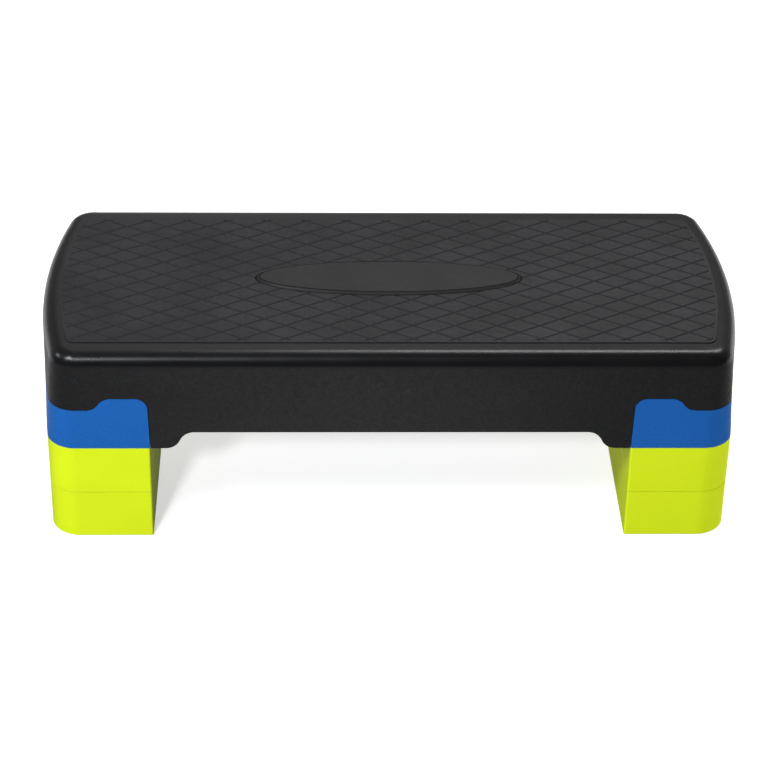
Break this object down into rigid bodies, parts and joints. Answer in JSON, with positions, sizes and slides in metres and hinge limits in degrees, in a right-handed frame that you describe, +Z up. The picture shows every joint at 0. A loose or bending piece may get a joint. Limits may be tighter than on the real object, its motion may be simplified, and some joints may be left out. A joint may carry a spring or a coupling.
{
  "type": "aerobic step platform",
  "caption": "Aerobic step: a long black deck with a diamond tread mat and bowed ends on blue end feet, raised on stacked lime risers that pull off downwards to lower the step.",
  "frame": {"origin": "on the floor under the middle of the deck", "axes": "+X along the length to the right, +Y from the front to the back, +Z up"},
  "size_m": [0.655, 0.282, 0.202],
  "materials": {
    "deck_black": "black moulded polypropylene, fine grain, polished top edge",
    "mat_black": "satin charcoal non-slip mat with diamond grooves",
    "plate_black": "smooth satin black, bare",
    "foot_blue": "blue moulded polypropylene, fine grain",
    "riser_lime": "lime moulded polypropylene, satin",
    "pad_rubber": "matt black rubber",
    "screw_steel": "zinc-plated steel"
  },
  "bodies": {
    "deck": {"deck_shell": "deck_black", "tread_mat": "mat_black", "oval_plate": "plate_black", "left_end_foot": "foot_blue", "left_foot_screws": "screw_steel", "left_end_foot_pad_front_inner": "pad_rubber", "left_end_foot_pad_front_outer": "pad_rubber", "left_end_foot_pad_back_inner": "pad_rubber", "left_end_foot_pad_back_outer": "pad_rubber", "right_end_foot": "foot_blue", "right_foot_screws": "screw_steel", "right_end_foot_pad_front_inner": "pad_rubber", "right_end_foot_pad_front_outer": "pad_rubber", "right_end_foot_pad_back_inner": "pad_rubber", "right_end_foot_pad_back_outer": "pad_rubber"},
    "left_upper_riser": {"left_upper_riser": "riser_lime", "left_upper_riser_pad_front_inner": "pad_rubber", "left_upper_riser_pad_front_outer": "pad_rubber", "left_upper_riser_pad_back_inner": "pad_rubber", "left_upper_riser_pad_back_outer": "pad_rubber"},
    "left_lower_riser": {"left_lower_riser": "riser_lime", "left_lower_riser_pad_front_inner": "pad_rubber", "left_lower_riser_pad_front_outer": "pad_rubber", "left_lower_riser_pad_back_inner": "pad_rubber", "left_lower_riser_pad_back_outer": "pad_rubber"},
    "right_upper_riser": {"right_upper_riser": "riser_lime", "right_upper_riser_pad_front_inner": "pad_rubber", "right_upper_riser_pad_front_outer": "pad_rubber", "right_upper_riser_pad_back_inner": "pad_rubber", "right_upper_riser_pad_back_outer": "pad_rubber"},
    "right_lower_riser": {"right_lower_riser": "riser_lime", "right_lower_riser_pad_front_inner": "pad_rubber", "right_lower_riser_pad_front_outer": "pad_rubber", "right_lower_riser_pad_back_inner": "pad_rubber", "right_lower_riser_pad_back_outer": "pad_rubber"}
  },
  "joints": [
    {"name": "left_upper_riser_lift_off", "type": "slide", "parent": "deck", "child": "left_upper_riser", "axis": [0, 0, -1], "range_m": [0, 0.06]},
    {"name": "left_lower_riser_lift_off", "type": "slide", "parent": "left_upper_riser", "child": "left_lower_riser", "axis": [0, 0, -1], "range_m": [0, 0.06]},
    {"name": "right_upper_riser_lift_off", "type": "slide", "parent": "deck", "child": "right_upper_riser", "axis": [0, 0, -1], "range_m": [0, 0.06]},
    {"name": "right_lower_riser_lift_off", "type": "slide", "parent": "right_upper_riser", "child": "right_lower_riser", "axis": [0, 0, -1], "range_m": [0, 0.06]}
  ]
}
